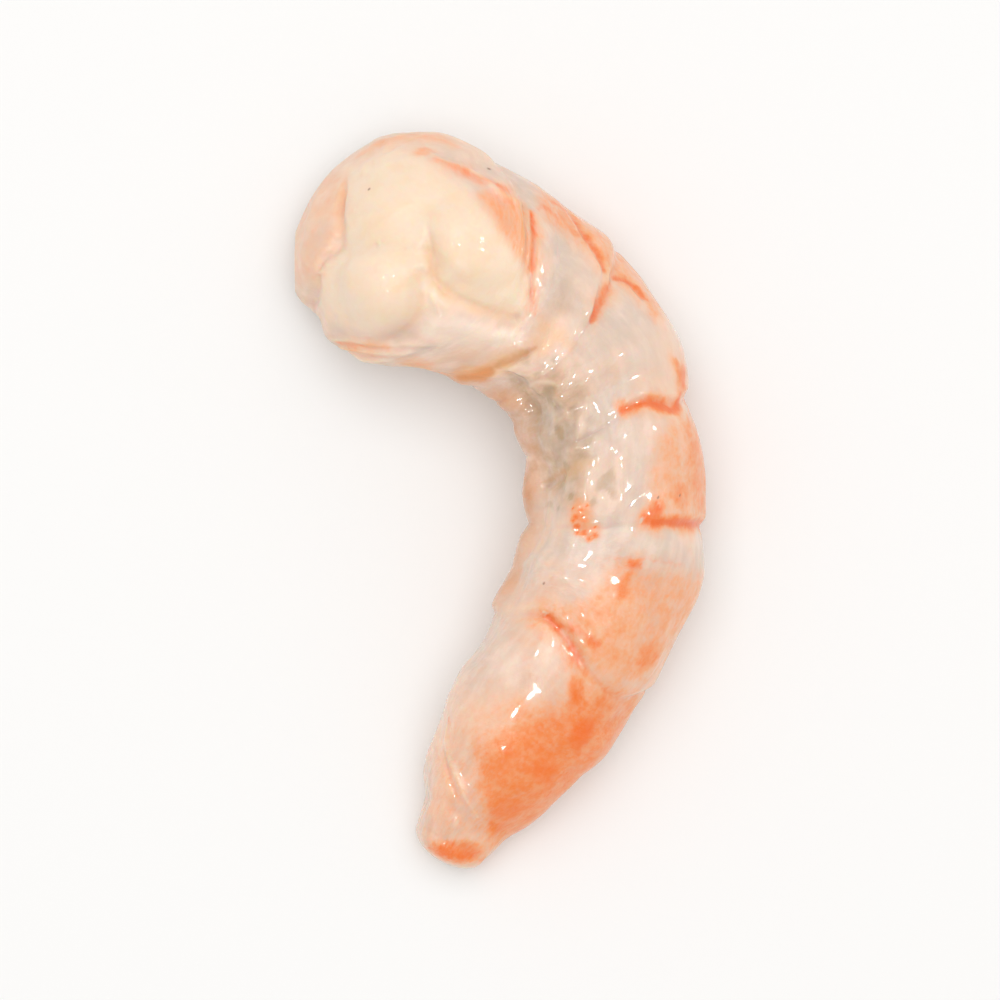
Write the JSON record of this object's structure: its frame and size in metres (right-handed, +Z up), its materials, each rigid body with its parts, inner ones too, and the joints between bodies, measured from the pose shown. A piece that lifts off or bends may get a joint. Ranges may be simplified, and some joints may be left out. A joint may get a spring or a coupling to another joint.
{
  "type": "peeled shrimp",
  "caption": "Raw peeled shrimp, head and tail fan off, curled on its side with its cut head end turned up; an ingredient for a plate, bowl, pan or heap.",
  "frame": {"origin": "on the resting surface, under the middle of the shrimp's overall box", "axes": "+Z up from the resting surface, +Y from the tail tip towards the head end, +X towards the outside of the curl, which is the back of the shrimp"},
  "size_m": [0.0346, 0.0618, 0.0148],
  "materials": {
    "flesh": "wet, soft and slightly translucent, cream to pale pink with orange patches"
  },
  "bodies": {
    "root": {"shrimp": "flesh"}
  },
  "joints": []
}
